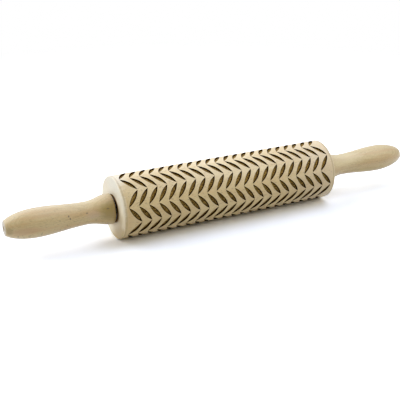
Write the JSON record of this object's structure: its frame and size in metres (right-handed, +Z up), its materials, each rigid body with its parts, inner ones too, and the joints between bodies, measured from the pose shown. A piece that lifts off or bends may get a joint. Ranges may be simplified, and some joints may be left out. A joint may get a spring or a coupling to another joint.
{
  "type": "rolling pin",
  "caption": "Embossed wooden rolling pin: a barrel engraved with slanting leaf-shaped pockets in herringbone rows turns on ball bearings between two turned handles.",
  "frame": {"origin": "under the middle of the barrel, on the table that it rests on", "axes": "+X along the pin from the left handle to the right one, +Z up"},
  "size_m": [0.435, 0.0598, 0.0599],
  "materials": {
    "beech_barrel": "bare sanded beech; the engraved pockets are burnt brown by the laser",
    "beech_handle": "turned and sanded beech, lightly oiled",
    "polished_steel": "ground and polished steel",
    "pressed_steel": "pressed sheet steel"
  },
  "bodies": {
    "axle": {"axle_rod": "polished_steel", "handle_left": "beech_handle", "handle_right": "beech_handle", "spacer_left": "polished_steel", "spacer_right": "polished_steel", "bearing_left_inner_ring": "polished_steel", "bearing_right_inner_ring": "polished_steel"},
    "barrel": {"barrel": "beech_barrel", "bearing_left_outer_ring": "polished_steel", "bearing_right_outer_ring": "polished_steel", "bearing_left_shield": "pressed_steel", "bearing_right_shield": "pressed_steel"},
    "cage_left": {"bearing_left_cage": "pressed_steel", "bearing_left_ball_1": "polished_steel", "bearing_left_ball_2": "polished_steel", "bearing_left_ball_3": "polished_steel", "bearing_left_ball_4": "polished_steel", "bearing_left_ball_5": "polished_steel", "bearing_left_ball_6": "polished_steel", "bearing_left_ball_7": "polished_steel"},
    "cage_right": {"bearing_right_cage": "pressed_steel", "bearing_right_ball_1": "polished_steel", "bearing_right_ball_2": "polished_steel", "bearing_right_ball_3": "polished_steel", "bearing_right_ball_4": "polished_steel", "bearing_right_ball_5": "polished_steel", "bearing_right_ball_6": "polished_steel", "bearing_right_ball_7": "polished_steel"}
  },
  "joints": [
    {"name": "barrel_turn", "type": "hinge", "parent": "axle", "child": "barrel", "pos_m": [0, 0, 0.02994], "axis": [1, 0, 0], "continuous": true},
    {"name": "cage_left_turn", "type": "hinge", "parent": "axle", "child": "cage_left", "pos_m": [-0.1105, 0, 0.02994], "axis": [1, 0, 0], "continuous": true},
    {"name": "cage_right_turn", "type": "hinge", "parent": "axle", "child": "cage_right", "pos_m": [0.1105, 0, 0.02994], "axis": [1, 0, 0], "continuous": true}
  ],
  "couplings": [
    {"joint": "cage_left_turn", "follows": "barrel_turn", "ratio": 0.6323},
    {"joint": "cage_right_turn", "follows": "barrel_turn", "ratio": 0.6323}
  ]
}
